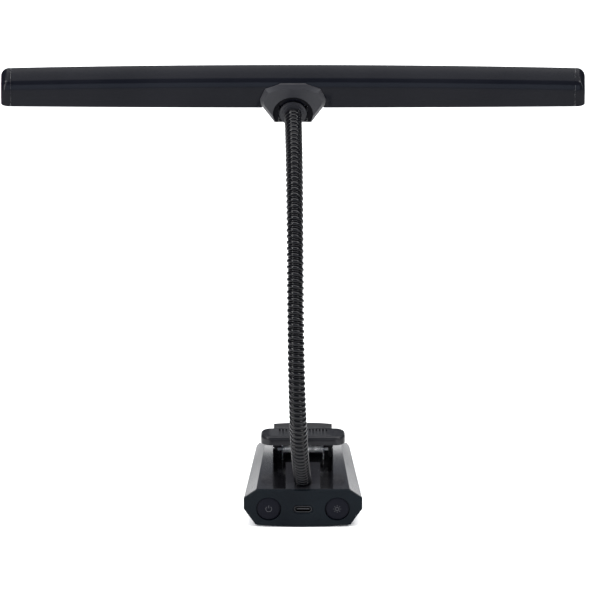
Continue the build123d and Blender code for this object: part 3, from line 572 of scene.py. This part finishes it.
def rounded(points, radii, steps):
    """A closed outline with an arc of its own radius at each corner."""
    outline = []
    for k, (point, radius) in enumerate(zip(points, radii)):
        corner = Vector(point)
        before = (Vector(points[k - 1]) - corner).normalized()
        after = (Vector(points[(k + 1) % len(points)]) - corner).normalized()
        half_angle = before.angle(after) / 2
        if radius == 0:
            outline.append(corner)
            continue
        reach = radius / tan(half_angle)
        centre = corner + (before + after).normalized() * radius / sin(half_angle)
        first = corner + before * reach - centre
        last = corner + after * reach - centre
        swing = first.angle(last)
        for step in range(steps + 1):
            share = step / steps
            part = (first * sin((1 - share) * swing) + last * sin(share * swing)) / sin(swing)
            outline.append(centre + part)
    return outline


def led_out(up):
    """How far out the LED side lies at a height on the head."""
    return LED_LOW_Z - (up - BAR_BOTTOM) * tan(LED_TILT)


def bar_section(along, window):
    """The bar's outline at a share of its half length from the middle, as (up, out) points."""
    drop = CREASE_DROP * along ** 2
    crease = CREASE_Y - drop
    bottom = BAR_BOTTOM + BOTTOM_RISE * along ** 2
    if abs(along) * BAR_HALF > HUB_COVER:
        bottom -= SKIRT
    lip = crease + LIP_RISE
    heel = bottom - BAR_HEEL
    crown = (crease + UPPER_RISE * CROWN_SHARE + UPPER_CROWN * FACE_UP,
             BAR_FACE - UPPER_RUN * CROWN_SHARE + UPPER_CROWN * FACE_OUT)
    over_crease = (crease + CREASE_SOFT * SOFT_UP, BAR_FACE - CREASE_SOFT * SOFT_BACK)
    points = [(bottom, BAR_FACE), (crease - CREASE_SOFT, BAR_FACE), over_crease,
              crown, (crease + UPPER_RISE, BAR_FACE - UPPER_RUN), (lip, led_out(lip))]
    radii = list(SECTION_ROUND)
    if window:
        middle = (BAR_BOTTOM + CREASE_Y + LIP_RISE) / 2
        inwards = Vector((sin(LED_TILT), cos(LED_TILT))) * WINDOW_DEEP
        rims = [Vector((middle + side * WINDOW_W / 2 * cos(LED_TILT), 0)) for side in (1, -1)]
        for rim in rims:
            rim.y = led_out(rim.x)
        points += [tuple(rims[0]), tuple(rims[0] + inwards), tuple(rims[1] + inwards), tuple(rims[1])]
        radii += [WINDOW_ROUND, 0, 0, WINDOW_ROUND]
    return rounded(points + [(heel, led_out(heel))], radii + [HEEL_ROUND], ARC_STEPS)


def loft(name, sections, material):
    """A closed skin through sections, each a list of points."""
    bm = bmesh.new()
    rings = [[bm.verts.new(point) for point in section] for section in sections]
    count = len(rings[0])
    for ring, following in zip(rings, rings[1:]):
        for k in range(count):
            bm.faces.new((ring[k], ring[(k + 1) % count], following[(k + 1) % count], following[k]))
    bm.faces.new(rings[0])
    bm.faces.new(rings[-1])
    mesh = bpy.data.meshes.new(name)
    settle(bm, mesh, closed=False)
    mesh.set_sharp_from_angle(angle=CREASED)
    return add_piece(name, mesh, material)


def bar_shell():
    """The long housing, crowned a little towards its middle."""
    stations = 40
    stops = [2 * k / stations - 1 for k in range(stations + 1)]
    edge, step = HUB_COVER / BAR_HALF, 0.01
    for side in (-1, 1):
        stops += [side * edge * (1 - step), side * edge * (1 + step)]
    sections = []
    for along in sorted(stops):
        sections.append([in_head(along * BAR_HALF, up, out) for up, out in bar_section(along, True)])
    piece = loft("bar_shell", sections, BAR)
    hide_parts("head_housing")
    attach(piece, "head")


def end_cap(side, node):
    """A cap that rounds the bar's end off, more at the top than at the bottom."""
    top_round, hold_up, hold_out = 4.3 * MM, 7 * MM, -2 * MM
    height = CREASE_Y - CREASE_DROP + UPPER_RISE - hold_up
    seam = 0.06 * MM
    steps = 10
    sections = []
    for k in range(steps + 2):
        turn = max(k - 1, 0) / steps * pi / 2
        past = seam if k == 0 else CAP_LEN - top_round + top_round * sin(turn)
        shrink = 1 - top_round * (1 - cos(turn)) / height
        section = [(hold_up + (up - hold_up) * shrink, hold_out + (out - hold_out) * shrink)
                   for up, out in bar_section(1, False)]
        sections.append([in_head(side * (BAR_HALF + past), up, out) for up, out in section])
    piece = loft(f"{node}_round", sections, BAR)
    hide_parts(node)
    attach(piece, "head")


bar_shell()
end_cap(-1, "left_end_cap")
end_cap(1, "right_end_cap")

# ================================================================ base, lever and hub
RECESS_R, RECESS_OUT = 10.3 * MM, 3.9 * MM     # where the hub's shade is painted: a little past its recess, so that its walls fall inside
# how much deeper than the recess's mouth the knuckle's painted shade begins
SHADE_LAP = 0.5 * MM
SLOT_GROWTH, BARREL_HALF, BARREL_R = 0.28 * MM, 6.9 * MM, 3.22 * MM
UPWARDS, SLOPED, BACKWARDS = 0.99, 0.5, 0.05     # how far a face has to look that way
SAME_PLACE = 0.05 * MM


def recess_shade(centre, normal):
    """Whether a face of the hub lies in the round recess or in the slot, and so gets painted shade."""
    offset = centre - TILT_PLACE
    across = Vector((offset.x, offset.dot(HEAD_UP)))
    inside = offset.dot(HEAD_OUT) < RECESS_OUT and across.length < RECESS_R
    return inside and abs(normal.dot(HEAD_UP)) < UPWARDS


def collar_shade(centre, normal):
    """Whether a face of the knuckle lies deeper than the collar at the recess's mouth, and so gets painted
    shade.
    """
    return (centre - TILT_PLACE).dot(HEAD_OUT) < RECESS_OUT - SHADE_LAP


def rest_slope_shade(centre, normal):
    """Whether a face of the lever is the slope behind its thumb rest, and so gets painted shade."""
    return normal.z > SLOPED and normal.y > BACKWARDS


def fill_slot(point):
    """Widens the knuckle's apron to the hub's slot, clear of the washers beside the barrel."""
    offset = point - TILT_PLACE
    beside = abs(abs(offset.x) - BARREL_HALF) < SAME_PLACE
    past_barrel = Vector((offset.y, offset.z)).length > BARREL_R
    if beside and past_barrel and offset.dot(HEAD_OUT) < RECESS_OUT:
        point.x += SLOT_GROWTH if offset.x > 0 else -SLOT_GROWTH


soften("body_shell", "base", 0.5 * MM, HOUSING)
soften("front_panel", "base", 0.5 * MM, PANEL)
soften("bottom_cover", "base", 0.2 * MM, HOUSING)
# the slope behind the thumb rest gets painted shade
soften("clip_lever", "clip", 0.35 * MM, LEVER, shade_mask=rest_slope_shade)
# the hub's recess and slot get painted shade
soften("hub", "head", 0.18 * MM, HUB, shade_mask=recess_shade)
soften("neck_collar", "base", 0.3 * MM, COIL)
# the knuckle's faces behind the collar get painted shade
soften("neck_knuckle", "tip", 0.1 * MM, HUB, reshape=fill_slot, shade_mask=collar_shade)


# ================================================================ buttons
BUTTON_X, CONTROL_Z = 17.4 * MM, DECK_Z - 10.2 * MM
BUTTON_R, FLANGE_R, STEM_R = 6 * MM, 7 * MM, 1.9 * MM
BUTTON_CROWN, BUTTON_SHOULDER = 0.45 * MM, 0.35 * MM
SHOULDER_IN, SHOULDER_DOWN = 0.1 * MM, 0.12 * MM
FLANGE_DEPTH, FLANGE_T = 2.65 * MM, 1 * MM
SIGN_LINE, SIGN_PROUD, SIGN_SUNK, SIGN_FOLD = 0.32 * MM, 0.02 * MM, 0.3 * MM, radians(30)


def lathe(name, profile, centre, material, around=64):
    """Turns (radius, depth) points about a line along Y through centre."""
    bm = bmesh.new()
    rings = []
    for radius, depth in profile:
        turns = [2 * pi * k / around for k in range(around)]
        ring = [centre + Vector((radius * cos(turn), depth, radius * sin(turn))) for turn in turns]
        rings.append([bm.verts.new(point) for point in ring])
    for ring, following in zip(rings, rings[1:]):
        for k in range(around):
            bm.faces.new((ring[k], ring[(k + 1) % around], following[(k + 1) % around], following[k]))
    bm.faces.new(rings[0])
    bm.faces.new(rings[-1])
    mesh = bpy.data.meshes.new(name)
    settle(bm, mesh, closed=False)
    mesh.set_sharp_from_angle(angle=CREASED)
    return add_piece(name, mesh, material)


def button(side, label):
    """A crowned round button with its flange and stem."""
    low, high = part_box(f"{label}_button")
    flange_y = FRONT + FLANGE_DEPTH
    shoulder_y = low[1] + BUTTON_CROWN
    profile = []
    steps, first = 10, 0.02
    for k in range(steps + 1):
        share = first + (1 - first) * k / steps
        profile.append(((BUTTON_R - BUTTON_SHOULDER) * share, low[1] + BUTTON_CROWN * share ** 2))
    profile += [(BUTTON_R - SHOULDER_IN, shoulder_y + SHOULDER_DOWN),
                (BUTTON_R, shoulder_y + BUTTON_SHOULDER), (BUTTON_R, flange_y), (FLANGE_R, flange_y),
                (FLANGE_R, flange_y + FLANGE_T), (STEM_R, flange_y + FLANGE_T), (STEM_R, high[1])]
    piece = lathe(f"{label}_button_crowned", profile, Vector((side * BUTTON_X, 0, CONTROL_Z)), BUTTON)
    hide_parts(f"{label}_button")
    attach(piece, label)
    return low[1]


def strip(bm, points, width, face_y):
    """A thin flat line of print through (x, z) points, standing just proud of the face at face_y."""
    sides = []
    for k, point in enumerate(points):
        run = Vector(points[min(k + 1, len(points) - 1)]) - Vector(points[max(k - 1, 0)])
        across = Vector((-run.y, run.x)).normalized() * width / 2
        for edge in (Vector(point) + across, Vector(point) - across):
            depths = (face_y - SIGN_PROUD, face_y + SIGN_SUNK)
            sides.append([bm.verts.new((edge.x, depth, edge.y)) for depth in depths])
    for k in range(0, len(sides) - 2, 2):
        left, right, next_left, next_right = sides[k:k + 4]
        bm.faces.new((left[0], right[0], next_right[0], next_left[0]))
        bm.faces.new((next_left[1], next_right[1], right[1], left[1]))
        bm.faces.new((left[0], next_left[0], next_left[1], left[1]))
        bm.faces.new((right[1], next_right[1], next_right[0], right[0]))
    for left, right in (sides[:2], sides[-2:]):
        bm.faces.new((left[0], left[1], right[1], right[0]))


def arc(centre, radius, start, stop, steps=20):
    """Points on an arc about centre, from start to stop."""
    turns = [start + (stop - start) * k / steps for k in range(steps + 1)]
    return [(centre[0] + radius * cos(turn), centre[1] + radius * sin(turn)) for turn in turns]


def button_icon(label, face_y, lines):
    """Prints a generic sign on a button."""
    bm = bmesh.new()
    for points in lines:
        strip(bm, points, SIGN_LINE, face_y)
    mesh = bpy.data.meshes.new(f"{label}_sign")
    settle(bm, mesh, closed=False)
    mesh.set_sharp_from_angle(angle=SIGN_FOLD)
    piece = add_piece(f"{label}_sign", mesh, ICON)
    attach(piece, label)


def power_sign(x):
    """A ring open at the top, with a stroke in the opening."""
    radius, gap, stroke_low, stroke_high = 1.5 * MM, radians(40), 0.4 * MM, 1.9 * MM
    return [arc((x, CONTROL_Z), radius, pi / 2 + gap, 5 * pi / 2 - gap),
            [(x, CONTROL_Z + stroke_low), (x, CONTROL_Z + stroke_high)]]


def brightness_sign(x):
    """A small ring with rays."""
    radius, ray_start, ray_end, rays = 0.85 * MM, 1.4 * MM, 2.0 * MM, 8
    lines = [arc((x, CONTROL_Z), radius, 0, 2 * pi)]
    for k in range(rays):
        turn = 2 * pi * k / rays
        ray = [(x + reach * cos(turn), CONTROL_Z + reach * sin(turn)) for reach in (ray_start, ray_end)]
        lines.append(ray)
    return lines


def buttons():
    """The power button on the left and the brightness button on the right."""
    for side, label, sign in ((-1, "power", power_sign), (1, "dimmer", brightness_sign)):
        face_y = button(side, label)
        button_icon(label, face_y, sign(side * BUTTON_X))


buttons()


# ================================================================ clip spring
SPRING_R, SPRING_WIRE, SPRING_LEN, SPRING_TURNS = 1.6 * MM, 0.34 * MM, 9.6 * MM, 12.0
LOOP_HALF, LOOP_TAPER = 1 * MM, 1 * MM     # half the loop's width, and the height over which it closes
LEG_PAST, LEG_DROP, FOOT_BEND = 0.9 * MM, 3 * MM, 1 * MM


def spring_tree():
    """A close-wound coil along Z."""
    group = NodeGroup("clip_spring_coil", Turns=SPRING_TURNS, Radius=SPRING_R, Wire=SPRING_WIRE,
                      Length=SPRING_LEN, PerTurn=24)
    given = group.given
    spiral = group.node("GeometryNodeCurveSpiral")
    group.join(given("PerTurn"), spiral.inputs["Resolution"])
    group.join(given("Turns"), spiral.inputs["Rotations"])
    group.join(given("Radius"), spiral.inputs["Start Radius"])
    group.join(given("Radius"), spiral.inputs["End Radius"])
    group.join(given("Length"), spiral.inputs["Height"])
    ring = group.node("GeometryNodeCurvePrimitiveCircle")
    ring.inputs["Resolution"].default_value = 10
    group.join(given("Wire"), ring.inputs["Radius"])
    sweep = group.node("GeometryNodeCurveToMesh")
    group.join(spiral.outputs["Curve"], sweep.inputs["Curve"])
    group.join(ring.outputs["Curve"], sweep.inputs["Profile Curve"])
    sweep.inputs["Fill Caps"].default_value = True
    return group, sweep.outputs["Mesh"]


def wire(name, points, radius, material):
    """A bent round wire through points."""
    data = bpy.data.curves.new(name, "CURVE")
    data.dimensions = "3D"
    data.bevel_depth = radius
    data.bevel_resolution = 3
    data.use_fill_caps = True
    spline = data.splines.new("NURBS")
    spline.points.add(len(points) - 1)
    for knot, point in zip(spline.points, points):
        knot.co = (*point, 1)
    spline.order_u = 3
    spline.use_endpoint_u = True
    holder = bpy.data.objects.new(name, data)
    bpy.context.scene.collection.objects.link(holder)
    mesh = bpy.data.meshes.new_from_object(holder.evaluated_get(bpy.context.evaluated_depsgraph_get()))
    bpy.data.objects.remove(holder)
    bm = bmesh.new()
    bm.from_mesh(mesh)
    settle(bm, mesh, closed=False)
    return add_piece(name, mesh, material)


def clip_spring():
    """The torsion spring on the lever's pin, with its legs."""
    low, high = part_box("pivot_pin")
    pin = (Vector(low) + Vector(high)) / 2
    floor_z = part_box("torsion_spring")[0][2]
    top_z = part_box("torsion_spring")[1][2]
    group, geometry = spring_tree()
    coil_mesh = group.run("clip_spring_coil", geometry, STEEL)
    bm = bmesh.new()
    for side in (1, -1):
        half = coil_mesh.copy()
        start = Matrix.Translation(pin + Vector((side * LOOP_HALF, 0, 0)))
        half.transform(start @ Matrix.Rotation(side * pi / 2, 4, "Y"))
        bm.from_mesh(half)
    settle(bm, coil_mesh, closed=False)
    coil = add_piece("clip_spring_coil", coil_mesh, STEEL)
    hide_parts("torsion_spring")
    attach(coil, "base")
    for side, label in ((-1, "left"), (1, "right")):
        outer = pin + Vector((side * (SPRING_LEN + LEG_PAST), SPRING_R, 0))
        foot = Vector((outer.x, pin.y, floor_z + SPRING_WIRE))
        bends = [outer, outer - Vector((0, 0, LEG_DROP)), Vector((outer.x, outer.y, foot.z + FOOT_BEND)),
                 Vector((outer.x, outer.y, foot.z)), foot]
        leg = wire(f"clip_spring_leg_{label}", bends, SPRING_WIRE, STEEL)
        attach(leg, "base")
    inner = pin + Vector((0, SPRING_R, 0))
    half_loop = Vector((LOOP_HALF, 0, 0))
    bends = [inner - half_loop, Vector((-LOOP_HALF, inner.y, top_z - LOOP_TAPER)),
             Vector((0, inner.y, top_z)), Vector((LOOP_HALF, inner.y, top_z - LOOP_TAPER)), inner + half_loop]
    loop = wire("clip_spring_loop", bends, SPRING_WIRE, STEEL)
    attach(loop, "clip")


clip_spring()

# ================================================================ finishes of the CAD pieces
PAINT = {
    # the USB socket's steel is darkened as painted shade
    "usb_socket": INLET, "pivot_pin": STEEL, "cover_screws": STEEL, "tilt_pin": STEEL,
    "hub_screws": STEEL, "board_screws": STEEL,
    "rubber_feet": RUBBER, "lower_jaw_pad": RUBBER, "upper_jaw_pad": RUBBER,
    "power_plunger": SWITCH, "dimmer_plunger": SWITCH, "button_switches": SWITCH, "friction_washers": SWITCH,
    "control_board": BOARD, "led_board": BOARD, "battery_cell": FOIL, "diffuser": FROST, "led_chips": LED,
}
for node, material in PAINT.items():
    nodes[node].data.materials.clear()
    nodes[node].data.materials.append(material)


# ================================================================ studio
FLOOR_Z, FLOOR_HALF = -0.02 * MM, 6.0
SURROUND_COLOUR, SURROUND_STRENGTH = (0.75, 0.8, 0.9), 0.3
VIEW_ELEVATION, VIEW_DISTANCE, VIEW_HEIGHT = radians(21.6), 8.0, 0.3
AIM_RIGHT, AIM_UP = -4.06 * MM, 99.2 * MM     # the view's middle, from the panel's top edge
SENSOR, FARTHEST = 36.0, 50


def softbox(name, place, target, size, power, colour=(1, 1, 1)):
    """A rectangular light facing a point."""
    light = bpy.data.lights.new(name, "AREA")
    light.shape = "RECTANGLE"
    light.size, light.size_y = size
    light.energy = power
    light.color = colour
    lamp = bpy.data.objects.new(name, light)
    lamp.visible_camera = False
    lamp.location = place
    lamp.rotation_euler = (Vector(target) - Vector(place)).to_track_quat("-Z", "Y").to_euler()
    bpy.context.scene.collection.objects.link(lamp)


def studio():
    """A pale floor, soft light and an even surround."""
    mesh = bpy.data.meshes.new("studio_floor")
    signs = ((-1, -1), (1, -1), (1, 1), (-1, 1))
    corners = [(x * FLOOR_HALF, y * FLOOR_HALF, FLOOR_Z) for x, y in signs]
    mesh.from_pydata(corners, [], [(0, 1, 2, 3)])
    floor = add_piece("studio_floor", mesh, floor_paint())
    world = bpy.context.scene.world or bpy.data.worlds.new("surround")
    bpy.context.scene.world = world
    world.use_nodes = True
    background = world.node_tree.nodes["Background"]
    background.inputs["Color"].default_value = (*SURROUND_COLOUR, 1)
    background.inputs["Strength"].default_value = SURROUND_STRENGTH
    middle = (0, 0, 0.12)
    softbox("overhead", (0, 0, 1.7), middle, (1.6, 0.6), 28)
    softbox("overhead_front", (0, -0.45, 1.65), middle, (1.6, 0.6), 7)
    softbox("back_top", (0, 1.3, 1.9), (0, 0.7, 0), (2.2, 0.5), 24)
    softbox("left_high", (-1.1, -0.7, 1.6), (0, -0.1, 0), (0.5, 0.5), 24)
    softbox("right_high", (1.1, -0.7, 1.6), (0, -0.1, 0), (0.5, 0.5), 24)
    softbox("left_strip", (-1.1, -1.3, 0.6), middle, (0.1, 1.0), 17)
    softbox("right_strip", (1.3, -0.9, 0.6), middle, (0.06, 1.0), 6)
    softbox("front_low", (0, -3.0, 0.3), middle, (3.0, 0.5), 15, (0.7, 0.82, 1.0))
    softbox("back_low", (-0.45, 2.4, 0.18), (0, 0, 0.02), (3.6, 0.22), 6.4)


def camera():
    """The camera stands in front of the panel and looks down on the lamp."""
    image_up = Vector((0, sin(VIEW_ELEVATION), cos(VIEW_ELEVATION)))
    target = Vector((AIM_RIGHT, FRONT, DECK_Z)) + image_up * AIM_UP
    data = bpy.data.cameras.new("camera")
    data.sensor_width = SENSOR
    data.lens = SENSOR * VIEW_DISTANCE / VIEW_HEIGHT
    data.clip_end = FARTHEST
    viewer = bpy.data.objects.new("camera", data)
    viewer.location = target + Vector((0, -cos(VIEW_ELEVATION), sin(VIEW_ELEVATION))) * VIEW_DISTANCE
    viewer.rotation_euler = (radians(90) - VIEW_ELEVATION, 0, 0)
    bpy.context.scene.collection.objects.link(viewer)
    bpy.context.scene.camera = viewer


studio()
camera()
bpy.context.scene.view_settings.view_transform = "Standard"
